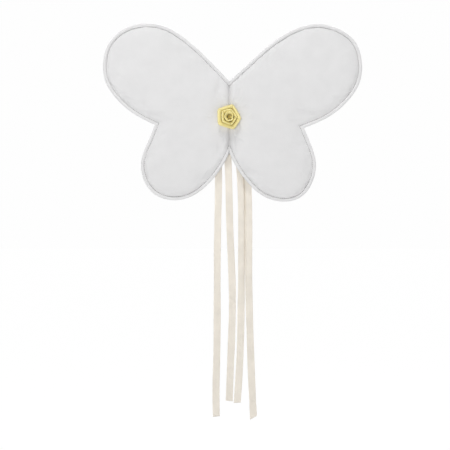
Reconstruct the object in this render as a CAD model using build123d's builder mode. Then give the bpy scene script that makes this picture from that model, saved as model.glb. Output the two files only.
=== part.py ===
"""Padded cotton fairy wings with a folded ribbon rose and four sewn-on cotton ties.

The wings stand upright as worn: +Z is up, the rose faces -Y and the wearer's back is on +Y.
The origin is the centre of the back patch's rear face, level with the rose. Millimetres.
"""
import math
import os

from build123d import *

# ---- driving dimensions -------------------------------------------------------------------
MID_Y = -5.0  # middle layer of the padded wings
BAND_WIDTH = 6.0  # flat band between the outer edge and the topstitching
BAND_HALF = 1.3  # half thickness of the turned-in seam allowance in the band
COTTON = 0.5  # thickness of one cotton cover
THREAD = 0.4  # height that the stitching stands proud
THREAD_WIDTH = 0.7

CENTRE_HALF_WIDTH = 25.6  # the stiff middle, which the patch backs
CENTRE_HALF_DEPTH = 3.6  # half thickness of the middle's wadding
HINGE_X = 30.0  # where each wing folds, just outside the patch

WING_CENTRES = {"left": (-62.0, 9.0), "right": (62.0, 9.0)}
CROWN = [(1.0, 1.0), (0.95, 2.7), (0.84, 3.8), (0.6, 4.4)]  # (scale of the outline, half depth)
CROWN_INSET = BAND_WIDTH + 0.8  # the wadding's crown starts inside the stitching
SKIN_INSET = BAND_WIDTH + 0.3  # and so does the covers' crown over it
SPLINE_STEP = 28.0  # spacing of the points that carry an inset outline
ROOT_GAP_Z = -12.0  # middle of the opening in a wing's stitched band at its fold line
ROOT_GAP_HEIGHT = 196.0
ROOT_GAP_DEPTH = 20.0
ROOT_GAP_MARGIN = 0.02

PATCH_WIDTH = 58.0
PATCH_HEIGHT = 44.0
PATCH_DEPTH = 0.9
PATCH_CORNER = 2.0
STITCH_LENGTH = 3.0
STITCH_PITCH = 5.0
PATCH_STITCH_INSET = 1.2
CENTRE_SEAM_RUNS = [(24.5, 52.0), (-52.0, -24.5)]  # above and below the rose
HALF_SPACE_X = 130.0  # middle of the block that keeps one face of a wing
HALF_SPACE = (300.0, 40.0, 400.0)

TIE_WIDTH = 12.6
TIE_DEPTH = 1.0
TIE_HINGE_Z = -8.0
TIE_HINGE_Y = 1.7
SEWN_END_HEIGHT = 16.0
SEWN_END_DEPTH = 2.0  # the raw end is folded under, so it is double
SEWN_END_RISE = 2.0  # from the tie's fold line up to the sewn end
TIE_CLEARANCE = 0.6
TIE_ARC_SHARE = 0.45  # of the shorter run beside a bend that its arc takes
BOX_STITCH_INSET = 2.0
TIE_XS = {"outer_left": -20.4, "inner_left": -6.8, "inner_right": 6.8, "outer_right": 20.4}

ROSE_TURN = 71.4  # degrees, the first corner of the rose's pentagons
FELT_RADIUS = 17.0
FELT_DEPTH = 1.2
BUD_RADIUS = 3.6
BUD_HEIGHT = 14.5
BUD_ROUND = 1.44
# name, height, (base, rim) radii outside, (base, rim) radii inside, rounding of the corners
ROSE_RINGS = [
    ("rose_outer_turn", 7.5, (20.0, 24.0), (16.0, 16.8), 1.5),
    ("rose_middle_turn", 10.5, (15.4, 16.2), (9.6, 10.6), 2.5),
    ("rose_inner_turn", 13.0, (8.8, 9.6), (4.8, 5.2), 3.0),
]

# ---- outlines, (x, z), each read outward from the fold line -----------------------------------
WING_OUTLINES = {
    "left": (
        [(-30, 94), (-78.7, 138), (-120.5, 160.2), (-151.8, 162.6), (-183.2, 153.2),
         (-207.5, 132.3), (-219.7, 95.8), (-215.4, 60.9), (-200.6, 36.6), (-171, 8.7), (-130, -13.9)],
        [(-130, -13.9), (-140.5, -40), (-153.6, -78.3), (-145.7, -116.6), (-125.7, -137.5),
         (-97.8, -145), (-68.2, -139.3), (-30, -109.5)],
    ),
    "right": (
        [(30, 90), (78, 131.4), (119.8, 155), (154.6, 161.9), (192.9, 152.3),
         (217.3, 134), (230.9, 95.8), (226, 57.5), (208.6, 30.5), (175.5, 1.7), (130.2, -19.2)],
        [(130.2, -19.2), (138.9, -40), (150.8, -80), (143.3, -116.6), (125, -139.3),
         (88.4, -147.1), (57.1, -136.7), (30, -111.6)],
    ),
}
CENTRE_OUTLINE = [(-40, 104.3), (0, 62.3), (40, 99.3), (40, -123), (14.3, -90.5),
                  (0, -62.7), (-9.6, -81.3), (-40, -121)]

# Routes of the ties, (x, z), below their fold line.
TIE_ROUTES = {
    "outer_left": [(-20.4, -8), (-18.9, -62), (-18.7, -122), (-20.3, -190), (-21.4, -262),
                   (-21.0, -340), (-21.6, -418), (-23.8, -480), (-22.6, -522)],
    "inner_left": [(-6.8, -8), (-2.6, -62), (-0.6, -122), (0.6, -188), (3.6, -250),
                   (5.8, -310), (4.6, -370), (2.0, -434), (-0.2, -495)],
    "inner_right": [(6.8, -8), (15.4, -62), (20.5, -122), (21.2, -190), (20.9, -260),
                    (20.7, -332), (19.5, -400), (16.8, -456), (13.8, -498)],
    "outer_right": [(20.4, -8), (28.8, -62), (33.8, -122), (34.6, -190), (34.2, -262),
                    (34.9, -336), (36.9, -404), (39.3, -468), (42.2, -524)],
}


def save(part, name):
    """Label a finished piece and write it as parts/<name>.step."""
    part.label = name
    export_step(part, "parts/" + name + ".step")


def face_of(edges, plane):
    """A face bounded by splines and straight lines through lists of points."""
    with BuildSketch(plane) as face:
        with BuildLine():
            for points in edges:
                if len(points) == 2:
                    Line(*points)
                else:
                    Spline(*points)
        make_face()
    return face


def inset_edges(edges, inset):
    """The outline drawn in by an inset, as new lists of points for splines."""
    with BuildSketch() as face:
        add(face_of(edges, Plane.XY).sketch)
        offset(amount=-inset, kind=Kind.ARC)
    inner = []
    for edge in face.sketch.faces()[0].outer_wire().edges():
        steps = 1 if edge.geom_type == GeomType.LINE else 3 + int(edge.length / SPLINE_STEP)
        inner.append([tuple(edge @ (i / steps))[:2] for i in range(steps + 1)])
    return inner


def wing_edges(side, inset=0.0):
    """Upper edge, lower edge and root of one wing, drawn in by an inset."""
    upper, lower = WING_OUTLINES[side]
    edges = [upper, lower, [lower[-1], upper[0]]]
    return inset_edges(edges, inset) if inset else edges


def wing_face(side, y, edges, scale=1.0):
    """A face within one wing's edges at depth y, scaled towards the middle of the wing."""
    middle_x, middle_z = WING_CENTRES[side]
    scaled = []
    for points in edges:
        scaled.append([(middle_x + (x - middle_x) * scale, middle_z + (z - middle_z) * scale)
                       for x, z in points])
    return face_of(scaled, Plane.XZ.offset(-y)).sketch


def wing_crown(side, inset, extra):
    """A pad crowned on both sides: ruled lofts through smaller and smaller outlines."""
    edges = wing_edges(side, inset)
    backward = [wing_face(side, MID_Y + depth + extra, edges, scale) for scale, depth in CROWN]
    forward = [wing_face(side, MID_Y - depth - extra, edges, scale) for scale, depth in CROWN]
    with BuildPart() as crown:
        loft(backward[::-1] + forward, ruled=True)
    return crown.part


def make_wing(side):
    """One wing: two covers, wadding, turned-in seam allowance and topstitching."""
    outer_side = 1 if side == "right" else -1
    root_x = outer_side * HINGE_X
    strip_centre = root_x + outer_side * BAND_WIDTH / 2
    outer_edges = wing_edges(side)
    field_edges = wing_edges(side, BAND_WIDTH)
    stitch_edges = wing_edges(side, BAND_WIDTH - THREAD_WIDTH)
    root_gap_width = BAND_WIDTH + ROOT_GAP_MARGIN
    outline = wing_face(side, MID_Y - BAND_HALF, outer_edges)
    field = wing_face(side, MID_Y - BAND_HALF, field_edges)

    with BuildPart() as turned_edge:
        extrude(outline, amount=-2 * BAND_HALF)
        extrude(field, amount=-2 * BAND_HALF, mode=Mode.SUBTRACT)
        with Locations((strip_centre, MID_Y, ROOT_GAP_Z)):
            Box(root_gap_width, ROOT_GAP_DEPTH, ROOT_GAP_HEIGHT, mode=Mode.SUBTRACT)
    save(turned_edge.part, side + "_turned_edge")

    crown = wing_crown(side, CROWN_INSET, 0.0)
    with BuildPart() as wadding:
        extrude(outline, amount=-2 * BAND_HALF)
        add(turned_edge.part, mode=Mode.SUBTRACT)
        add(crown)
    save(wadding.part, side + "_wadding")

    skin = wing_crown(side, SKIN_INSET, COTTON)
    for name, facing in (("front", -1), ("back", 1)):
        inner_y = MID_Y + facing * BAND_HALF
        plate = wing_face(side, inner_y, outer_edges)
        with BuildPart() as cover:
            add(skin)
            with Locations((outer_side * HALF_SPACE_X, inner_y - facing * HALF_SPACE[1] / 2, 0)):
                Box(*HALF_SPACE, mode=Mode.SUBTRACT)
            extrude(plate, amount=-facing * COTTON)
            add(wadding.part, mode=Mode.SUBTRACT)
        save(cover.part, side + "_" + name + "_cover")

    lines = {}
    for facing in (-1, 1):
        face_y = MID_Y + facing * (BAND_HALF + COTTON)
        lines[facing] = wing_face(side, face_y, stitch_edges) - wing_face(side, face_y, field_edges)
    with BuildPart() as topstitch:
        for facing, line in lines.items():
            extrude(line, amount=-facing * THREAD)
        with Locations((strip_centre, MID_Y, ROOT_GAP_Z)):
            Box(root_gap_width, ROOT_GAP_DEPTH, ROOT_GAP_HEIGHT, mode=Mode.SUBTRACT)
        add(skin, mode=Mode.SUBTRACT)
    save(topstitch.part, side + "_topstitching")


def centre_face(y, inset=0.0):
    """The stiff middle between the two notches, drawn in from its notched edges, at depth y."""
    edges = [[start, end] for start, end in zip(CENTRE_OUTLINE, CENTRE_OUTLINE[1:])]
    edges.append([CENTRE_OUTLINE[-1], CENTRE_OUTLINE[0]])
    if inset:
        edges = inset_edges(edges, inset)
    with BuildSketch(Plane.XZ.offset(-y)) as face:
        add(face_of(edges, Plane.XY).sketch)
        Rectangle(2 * CENTRE_HALF_WIDTH, HALF_SPACE[2], mode=Mode.INTERSECT)
    return face.sketch


def make_centre():
    """The middle of the wings: covers, wadding, turned-in edge, topstitching and centre seam."""
    half_depth = CENTRE_HALF_DEPTH
    outline = centre_face(MID_Y - BAND_HALF)
    field = centre_face(MID_Y - BAND_HALF, BAND_WIDTH)
    pad = centre_face(MID_Y - half_depth, BAND_WIDTH + COTTON)
    with BuildPart() as turned_edge:
        extrude(outline, amount=-2 * BAND_HALF)
        extrude(field, amount=-2 * BAND_HALF, mode=Mode.SUBTRACT)
    save(turned_edge.part, "centre_turned_edge")

    with BuildPart() as wadding:
        extrude(pad, amount=-2 * half_depth)
        extrude(field, amount=-2 * BAND_HALF)
    save(wadding.part, "centre_wadding")

    tray_depth = half_depth + COTTON - BAND_HALF
    for name, facing in (("front", -1), ("back", 1)):
        band_y = MID_Y + facing * BAND_HALF
        plate = centre_face(band_y)
        tray = centre_face(band_y, BAND_WIDTH)
        with BuildPart() as cover:
            extrude(plate, amount=-facing * COTTON)
            extrude(tray, amount=-facing * tray_depth)
            add(wadding.part, mode=Mode.SUBTRACT)
        save(cover.part, "centre_" + name + "_cover")

    lines = {}
    for facing in (-1, 1):
        face_y = MID_Y + facing * (BAND_HALF + COTTON)
        lines[facing] = centre_face(face_y, BAND_WIDTH - THREAD_WIDTH) - centre_face(face_y, BAND_WIDTH)
    with BuildPart() as topstitch:
        for facing, line in lines.items():
            extrude(line, amount=-facing * THREAD)
    save(topstitch.part, "centre_topstitching")

    with BuildPart() as seam:
        with BuildSketch(Plane.XZ.offset(-MID_Y + half_depth + COTTON)):
            for low_z, high_z in CENTRE_SEAM_RUNS:
                stitch_count = int((high_z - low_z) / STITCH_PITCH)
                for index in range(stitch_count):
                    with Locations((0, low_z + (index + 0.5) * STITCH_PITCH)):
                        SlotOverall(STITCH_LENGTH, THREAD_WIDTH, rotation=90)
        extrude(amount=THREAD)
    save(seam.part, "centre_seam_stitches")


def rose_ring(base_y, height, outer_radii, inner_radii, round_corner, name):
    """One turn of the folded ribbon: a flared pentagonal ring with a hollow middle."""
    with BuildPart() as ring:
        for radii, mode in ((outer_radii, Mode.ADD), (inner_radii, Mode.SUBTRACT)):
            with BuildSketch(Plane.XZ.offset(-base_y)) as base:
                RegularPolygon(radii[0], 5, rotation=ROSE_TURN)
                fillet(base.vertices(), round_corner)
            with BuildSketch(Plane.XZ.offset(height - base_y)) as rim:
                RegularPolygon(radii[1], 5, rotation=ROSE_TURN)
                fillet(rim.vertices(), round_corner)
            loft(mode=mode)
    save(ring.part, name)


def make_rose():
    """Felt base, three turns of folded ribbon and the rolled bud."""
    base_y = MID_Y - CENTRE_HALF_DEPTH - COTTON
    with BuildPart() as felt:
        with BuildSketch(Plane.XZ.offset(-base_y)):
            Circle(FELT_RADIUS)
        extrude(amount=FELT_DEPTH)
    save(felt.part, "rose_felt_base")

    ribbon_y = base_y - FELT_DEPTH
    for name, height, outer_radii, inner_radii, corner in ROSE_RINGS:
        rose_ring(ribbon_y, height, outer_radii, inner_radii, corner, name)

    with BuildPart() as bud:
        with BuildSketch(Plane.XZ.offset(-ribbon_y)):
            Circle(BUD_RADIUS)
        extrude(amount=BUD_HEIGHT)
        fillet(bud.faces().sort_by(Axis.Y)[0].edges(), BUD_ROUND)
    save(bud.part, "rose_bud")


def make_patch():
    """The patch on the back that the ties are sewn to, with its border of stitches."""
    patch_plane = Plane.XZ.offset(PATCH_DEPTH)
    with BuildPart() as patch:
        with BuildSketch(patch_plane) as outline:
            Rectangle(PATCH_WIDTH, PATCH_HEIGHT)
            fillet(outline.vertices(), PATCH_CORNER)
        extrude(amount=-PATCH_DEPTH)
    save(patch.part, "back_patch")

    across = PATCH_WIDTH - 2 * PATCH_STITCH_INSET
    upright = PATCH_HEIGHT - 2 * PATCH_STITCH_INSET
    across_count = int(across / STITCH_PITCH)
    upright_count = int(upright / STITCH_PITCH)
    with BuildPart() as stitches:
        with BuildSketch(Plane.XZ):
            with GridLocations(STITCH_PITCH, upright, across_count, 2):
                SlotOverall(STITCH_LENGTH, THREAD_WIDTH)
            with GridLocations(across, STITCH_PITCH, 2, upright_count):
                SlotOverall(STITCH_LENGTH, THREAD_WIDTH, rotation=90)
        extrude(amount=-THREAD)
    save(stitches.part, "back_patch_stitches")


def tie_radii(points):
    """The arc at each corner: a share of the shorter run over the tangent of half the turn."""
    radii = []
    for before, corner, after in zip(points, points[1:], points[2:]):
        first = Vector(*corner) - Vector(*before)
        second = Vector(*after) - Vector(*corner)
        half_turn = math.radians(first.get_angle(second)) / 2
        radii.append(TIE_ARC_SHARE * min(first.length, second.length) / math.tan(half_turn))
    return radii


def make_tie(name, route):
    """One flat cotton tie: its doubled end sewn to the patch, and the strip that hangs from it."""
    root_x, root_z = route[0]
    with BuildPart() as sewn_end:
        with Locations((root_x, 0, TIE_HINGE_Z + SEWN_END_RISE)):
            Box(TIE_WIDTH, SEWN_END_DEPTH, SEWN_END_HEIGHT, align=(Align.CENTER, Align.MIN, Align.MIN))
    save(sewn_end.part, name + "_tie_sewn_end")

    start = (root_x, root_z - TIE_CLEARANCE)
    points = [(x, TIE_HINGE_Y, z) for x, z in [start] + route[1:]]
    with BuildPart() as tie:
        with BuildLine() as centreline:
            FilletPolyline(*points, radius=tie_radii(points))
        with BuildSketch(Plane(centreline.line @ 0, x_dir=(0, 1, 0), z_dir=centreline.line % 0)):
            Rectangle(TIE_DEPTH, TIE_WIDTH)
        sweep()
    save(tie.part, name + "_tie")
    print(name, "tie length", round(centreline.wires()[0].length, 1))


def make_tie_stitches():
    """A boxed cross of stitching through each sewn end."""
    half_width = TIE_WIDTH / 2 - BOX_STITCH_INSET
    half_height = SEWN_END_HEIGHT / 2 - BOX_STITCH_INSET
    middle_z = TIE_HINGE_Z + SEWN_END_RISE + SEWN_END_HEIGHT / 2
    lean = math.degrees(math.atan2(half_height, half_width))
    with BuildPart() as stitches:
        with BuildSketch(Plane.XZ.offset(-SEWN_END_DEPTH)):
            for root_x in TIE_XS.values():
                with Locations((root_x, middle_z)):
                    Rectangle(2 * half_width + THREAD_WIDTH, 2 * half_height + THREAD_WIDTH)
                    Rectangle(2 * half_width - THREAD_WIDTH, 2 * half_height - THREAD_WIDTH,
                              mode=Mode.SUBTRACT)
                for angle in (lean, -lean):
                    with Locations((root_x, middle_z)):
                        Rectangle(2 * math.hypot(half_width, half_height), THREAD_WIDTH, rotation=angle)
        extrude(amount=-THREAD)
    save(stitches.part, "tie_box_stitches")


os.makedirs("parts", exist_ok=True)
for wing_side in WING_OUTLINES:
    make_wing(wing_side)
make_centre()
make_rose()
make_patch()
for tie_name, tie_route in TIE_ROUTES.items():
    make_tie(tie_name, tie_route)
make_tie_stitches()
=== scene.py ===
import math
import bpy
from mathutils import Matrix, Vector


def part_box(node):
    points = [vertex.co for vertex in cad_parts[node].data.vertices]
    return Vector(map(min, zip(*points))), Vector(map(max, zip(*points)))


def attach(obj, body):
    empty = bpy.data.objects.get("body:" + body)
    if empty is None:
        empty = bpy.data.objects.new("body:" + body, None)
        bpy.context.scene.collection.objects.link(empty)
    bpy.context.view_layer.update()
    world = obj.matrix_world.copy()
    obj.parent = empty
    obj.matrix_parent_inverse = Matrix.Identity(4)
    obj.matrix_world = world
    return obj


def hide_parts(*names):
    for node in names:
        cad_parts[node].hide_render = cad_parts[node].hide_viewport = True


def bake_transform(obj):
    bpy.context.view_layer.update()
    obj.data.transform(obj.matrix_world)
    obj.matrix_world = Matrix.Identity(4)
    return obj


bl_info = {
    "name": "Padded Fairy Wings",
    "version": (1, 0, 0),
    "blender": (4, 5, 0),
    "location": "3D View > Sidebar > Fairy Wings",
    "description": "Sewn cotton covers, wadding, ribbon rose and ties around a fixed frame",
    "category": "Object",
}

import bmesh
import bpy
import numpy as np

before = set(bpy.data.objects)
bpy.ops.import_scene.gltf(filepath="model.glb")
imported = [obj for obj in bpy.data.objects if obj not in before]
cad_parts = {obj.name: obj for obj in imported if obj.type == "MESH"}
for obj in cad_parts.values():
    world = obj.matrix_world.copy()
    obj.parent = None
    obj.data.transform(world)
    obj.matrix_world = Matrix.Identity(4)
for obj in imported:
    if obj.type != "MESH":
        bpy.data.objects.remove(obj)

MM = 0.001
PREFIX = "fairy_wings"
SIDES = {"left": -1.0, "right": 1.0}
FACES = {"front": -1.0, "back": 1.0}
TIE_NAMES = ("outer_left", "inner_left", "inner_right", "outer_right")

# The edge of each half, in millimetres (x, z): from the top notch to the side notch, and on
# from the side notch to the bottom notch.
HALF_OUTLINES = {
    "left": (
        [(0, 62.3), (-30, 94), (-78.7, 138), (-120.5, 160.2), (-151.8, 162.6), (-183.2, 153.2),
         (-207.5, 132.3), (-219.7, 95.8), (-215.4, 60.9), (-200.6, 36.6), (-171, 8.7), (-130, -13.9)],
        [(-130, -13.9), (-140.5, -40), (-153.6, -78.3), (-145.7, -116.6), (-125.7, -137.5),
         (-97.8, -145), (-68.2, -139.3), (-30, -109.5), (-9.6, -81.3), (0, -62.7)],
    ),
    "right": (
        [(0, 62.3), (30, 90), (78, 131.4), (119.8, 155), (154.6, 161.9), (192.9, 152.3),
         (217.3, 134), (230.9, 95.8), (226, 57.5), (208.6, 30.5), (175.5, 1.7), (130.2, -19.2)],
        [(130.2, -19.2), (138.9, -40), (150.8, -80), (143.3, -116.6), (125, -139.3),
         (88.4, -147.1), (57.1, -136.7), (30, -111.6), (14.3, -90.5), (0, -62.7)],
    ),
}

# Route of each tie's middle line, in metres, from its stitching down.
TIE_ROUTES = {
    "outer_left": [(-0.0204, 0.0017, -0.008), (-0.0189, 0.0017, -0.062), (-0.0187, 0.0017, -0.122),
                   (-0.0203, 0.0005, -0.190), (-0.0214, -0.0018, -0.262), (-0.0210, 0.0012, -0.340),
                   (-0.0216, -0.0015, -0.418), (-0.0238, 0.0008, -0.480), (-0.0226, -0.0010, -0.522)],
    "inner_left": [(-0.0068, 0.0017, -0.008), (-0.0026, 0.0017, -0.062), (-0.0006, 0.0015, -0.122),
                   (0.0006, -0.0008, -0.188), (0.0036, 0.0010, -0.250), (0.0058, -0.0022, -0.310),
                   (0.0046, 0.0008, -0.370), (0.0020, -0.0016, -0.434), (-0.0002, 0.0004, -0.495)],
    "inner_right": [(0.0068, 0.0017, -0.008), (0.0154, 0.0017, -0.062), (0.0205, 0.0016, -0.122),
                    (0.0212, 0.0000, -0.190), (0.0209, -0.0014, -0.260), (0.0207, 0.0006, -0.332),
                    (0.0195, -0.0012, -0.400), (0.0168, 0.0010, -0.456), (0.0138, -0.0014, -0.498)],
    "outer_right": [(0.0204, 0.0017, -0.008), (0.0288, 0.0017, -0.062), (0.0338, 0.0017, -0.122),
                    (0.0346, 0.0004, -0.190), (0.0342, -0.0010, -0.262), (0.0349, 0.0012, -0.336),
                    (0.0369, -0.0016, -0.404), (0.0393, 0.0006, -0.468), (0.0422, -0.0020, -0.524)],
}


# ---- settings -------------------------------------------------------------------------------


def length(title, text, default):
    """A length property in metres."""
    return bpy.props.FloatProperty(
        name=title, description=text, default=default, unit="LENGTH", precision=4)


def colour(title, text, default):
    """A colour property, linear."""
    return bpy.props.FloatVectorProperty(
        name=title, description=text, default=default, size=3, subtype="COLOR", min=0.0, max=1.0)


class WingSettings(bpy.types.PropertyGroup):
    """Sizes and colours of the padded wings."""

    mid_y: length("Middle layer", "Depth of the wings' middle layer", -0.005)
    band_width: length("Edge band", "Distance from the edge to the topstitching", 0.006)
    band_puff: length("Band puff", "Half thickness of the edge band", 0.0021)
    stitch_depth: length("Stitch depth", "Half thickness where the topstitching pulls in", 0.00055)
    crown: length("Crown", "Half thickness of the padded wings", 0.0046)
    centre_crown: length("Middle crown", "Half thickness of the middle", 0.0040)
    shoulder: length("Shoulder", "How quickly the padding rises from the stitching", 0.0030)
    cloth: length("Cloth", "Thickness of one cover", 0.00045)
    fold_room: length("Fold room", "How much thinner each side of the wadding is at a fold", 0.0026)
    cotton: colour("Cotton", "White cotton of the covers", (0.745, 0.742, 0.745))
    # The thread colour is partly the thread's own grey and partly painted shade for the groove where the
    # topstitching pulls the cloth in.
    thread: colour("Thread", "Sewing thread", (0.33, 0.32, 0.315))
    seam_thread: colour("Seam thread", "Thread of the gathered middle", (0.78, 0.775, 0.77))
    wadding: colour("Wadding", "Fibre wadding inside", (0.86, 0.86, 0.85))


class RoseSettings(bpy.types.PropertyGroup):
    """Sizes and colours of the ribbon rose."""

    ribbon: length("Ribbon", "Thickness of the satin ribbon", 0.00028)
    # Painted shade: the satin colour is the ribbon's lit gold, and the fold shade colour is a darker gold
    # painted deep in the folds.
    satin: colour("Satin", "Gold satin in the light", (0.82, 0.715, 0.30))
    satin_fold_shade: colour("Deep satin", "Gold satin deep in the folds", (0.62, 0.46, 0.08))
    felt: colour("Felt", "Felt base under the rose", (0.62, 0.47, 0.16))


class TieSettings(bpy.types.PropertyGroup):
    """Sizes and colours of the cotton ties and of the patch that they are sewn to."""

    width: length("Tie width", "Width of the cotton tape", 0.0126)
    thickness: length("Tie thickness", "Thickness of the cotton tape", 0.0009)
    natural: colour("Natural cotton", "Unbleached cotton tape", (0.84, 0.785, 0.70))


class StageSettings(bpy.types.PropertyGroup):
    """Camera, floor and light."""

    view_width: length("View width", "Width that the camera takes in at the wings", 0.785)
    view_x: length("View across", "Middle of the view, across", -0.0075)
    view_z: length("View height", "Middle of the view, upwards", -0.188)
    camera_distance: length("Camera distance", "Distance from the camera to the wings", 3.2)
    floor_z: length("Floor", "Height of the floor", -0.62)
    front_light: bpy.props.FloatProperty(
        name="Front light", description="Strength of the soft light from the front", default=0.14)
    backdrop_light: bpy.props.FloatProperty(
        name="Backdrop light", description="Strength of the bright backdrop's light", default=1.25)


def settings(group):
    """One of this file's groups of settings."""
    return getattr(bpy.context.scene, PREFIX + "_" + group)


# ---- meshes ---------------------------------------------------------------------------------


def new_object(name, mesh):
    """A smooth-shaded object in the scene."""
    mesh.shade_smooth()
    piece = bpy.data.objects.new(name, mesh)
    bpy.context.scene.collection.objects.link(piece)
    return piece


def grid_faces(rows, columns, closed_rows=False, flip=False, start=0):
    """Corner numbers of a grid's four-sided faces; closed_rows joins the last row to the first."""
    row_count = rows if closed_rows else rows - 1
    i, j = np.meshgrid(np.arange(row_count), np.arange(columns - 1), indexing="ij")
    after = (i + 1) % rows
    quads = np.stack([i * columns + j, after * columns + j, after * columns + j + 1,
                      i * columns + j + 1], axis=-1).reshape(-1, 4)
    return (quads[:, ::-1] if flip else quads) + start


def mesh_from(name, points, faces, uv=None):
    """A mesh from arrays of points and of four-sided faces, with a UV map where one is given."""
    points = np.asarray(points, float).reshape(-1, 3)
    mesh = bpy.data.meshes.new(name)
    mesh.from_pydata(points.tolist(), [], np.asarray(faces).tolist())
    if uv is not None:
        layer = mesh.uv_layers.new(name="along")
        corners = np.zeros(len(mesh.loops), np.int32)
        mesh.loops.foreach_get("vertex_index", corners)
        layer.data.foreach_set("uv", np.asarray(uv, np.float32).reshape(-1, 2)[corners].ravel())
    mesh.update()
    return mesh


def joined(parts):
    """Several pairs of points and faces as one pair."""
    starts = np.cumsum([0] + [len(points) for points, _ in parts[:-1]])
    return (np.concatenate([points for points, _ in parts]),
            np.concatenate([faces + start for (_, faces), start in zip(parts, starts)]))


def close_mesh(mesh, distance=1e-6, outward=True):
    """Merges points in one place, drops faces with no area and turns normals outward."""
    work = bmesh.new()
    work.from_mesh(mesh)
    bmesh.ops.remove_doubles(work, verts=work.verts, dist=distance)
    bmesh.ops.dissolve_degenerate(work, edges=work.edges, dist=distance * 0.5)
    if outward:
        bmesh.ops.recalc_face_normals(work, faces=work.faces)
    work.to_mesh(mesh)
    work.free()
    mesh.update()


def thicken(piece, thickness, offset=-1.0):
    """Gives a surface its cloth's thickness with a Solidify modifier."""
    solid = piece.modifiers.new("cloth", "SOLIDIFY")
    solid.thickness = thickness
    solid.offset = offset
    solid.use_even_offset = False
    return solid


def smoothstep(low, high, value):
    """0 below low, 1 above high, and a smooth curve between."""
    t = np.clip((value - low) / (high - low), 0.0, 1.0)
    return t * t * (3 - 2 * t)


def run_length(curve):
    """Length along a curve at each of its points."""
    return np.concatenate([[0.0], np.cumsum(np.linalg.norm(np.diff(curve, axis=0), axis=1))])


def read_at(wanted, along, curve):
    """A curve's values at the wanted lengths, between those at its own points."""
    return np.stack([np.interp(wanted, along, curve[:, k]) for k in range(curve.shape[1])], axis=1)


def spline_through(points, spacing):
    """Points every spacing along a natural cubic spline through the given points.

    The spline's parameter is the chord length, and its second derivatives at the points solve
    the usual three-banded equations, with none at either end."""
    points = np.asarray(points, float)
    chord = run_length(points)
    step = np.diff(chord)
    count = len(points)
    bands = np.eye(count)
    right = np.zeros_like(points)
    inner = np.arange(1, count - 1)
    bands[inner, inner - 1] = step[:-1]
    bands[inner, inner] = 2 * (step[:-1] + step[1:])
    bands[inner, inner + 1] = step[1:]
    slope = np.diff(points, axis=0) / step[:, None]
    right[inner] = 6 * (slope[1:] - slope[:-1])
    bend = np.linalg.solve(bands, right)
    fine = np.linspace(0.0, chord[-1], 1200)
    run = np.clip(np.searchsorted(chord, fine, side="right") - 1, 0, count - 2)
    a = (chord[run + 1] - fine)[:, None]
    b = (fine - chord[run])[:, None]
    h = step[run][:, None]
    curve = (bend[run] * a**3 + bend[run + 1] * b**3) / (6 * h)
    curve += (points[run] / h - bend[run] * h / 6) * a + (points[run + 1] / h - bend[run + 1] * h / 6) * b
    return evenly(curve, spacing)


def evenly(curve, spacing):
    """The same curve with its points a constant distance apart."""
    return resampled(curve, max(2, int(round(run_length(curve)[-1] / spacing)) + 1))


def resampled(curve, count):
    """The curve with another number of evenly spaced points."""
    along = run_length(curve)
    return read_at(np.linspace(0.0, along[-1], count), along, curve)


def capsules(centres, directions, normals, size, radius):
    """Many small stitches as one array of points and faces.

    Each is a rounded rod: rings of six points at stations along its length, whose radius is
    that of a half round at the ends, flattened towards the cloth."""
    stations = np.array([-1.0, -0.9, -0.55, 0.55, 0.9, 1.0])
    swell = np.array([0.05, 0.62, 1.0, 1.0, 0.62, 0.05])
    sink = np.array([-0.9, -0.35, 0.1, 0.1, -0.35, -0.9])
    turn = np.linspace(0.0, 2 * math.pi, 6, endpoint=False)
    across = np.cross(normals, directions)
    ring_across = swell[:, None] * np.cos(turn)[None, :] * radius
    ring_up = swell[:, None] * np.sin(turn)[None, :] * radius * 0.7 + sink[:, None] * radius * 0.6
    points = (centres[:, None, None, :]
              + (stations * size / 2)[None, :, None, None] * directions[:, None, None, :]
              + ring_across[None, :, :, None] * across[:, None, None, :]
              + ring_up[None, :, :, None] * normals[:, None, None, :])
    count = len(centres)
    i, j = np.meshgrid(np.arange(5), np.arange(6), indexing="ij")
    quad = np.stack([i * 6 + j, i * 6 + (j + 1) % 6, (i + 1) * 6 + (j + 1) % 6, (i + 1) * 6 + j], axis=-1)
    caps = np.array([[3, 2, 1, 0], [5, 4, 3, 0], [30, 31, 32, 33], [30, 33, 34, 35]])
    one = np.concatenate([quad.reshape(-1, 4), caps])
    faces = (one[None] + (np.arange(count) * 36)[:, None, None]).reshape(-1, 4)
    return points.reshape(-1, 3), faces


# ---- materials ------------------------------------------------------------------------------


def new_material(name, inputs):
    """A material, its node tree and its shader with the given inputs."""
    material = bpy.data.materials.new(name)
    material.use_nodes = True
    tree = material.node_tree
    shader = tree.nodes["Principled BSDF"]
    feed(tree, shader, inputs)
    return material, tree, shader


def feed(tree, target, inputs):
    """Sets a node's inputs to values, or links them to other nodes' outputs."""
    for key, value in inputs.items():
        if isinstance(value, bpy.types.NodeSocket):
            tree.links.new(value, target.inputs[key])
        else:
            target.inputs[key].default_value = value


def add_node(tree, kind, inputs, **options):
    """A new node with its options and inputs."""
    made = tree.nodes.new("ShaderNode" + kind)
    for option, value in options.items():
        setattr(made, option, value)
    feed(tree, made, inputs)
    return made


def toned(tree, share, dark, light, low=0.0, high=1.0):
    """A colour that goes from dark to light as the share goes from low to high."""
    tone = add_node(tree, "ValToRGB", {"Fac": share})
    for element, place, shade in zip(tone.color_ramp.elements, (low, high), (dark, light)):
        element.position = place
        element.color = (*np.minimum(shade, 1.0), 1.0)
    return tone.outputs["Color"]


def bumped(tree, shader, height, strength, distance):
    """Roughens the shader's surface by a height."""
    bump = add_node(tree, "Bump", {"Strength": strength, "Distance": distance, "Height": height})
    feed(tree, shader, {"Normal": bump.outputs["Normal"]})


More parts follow.
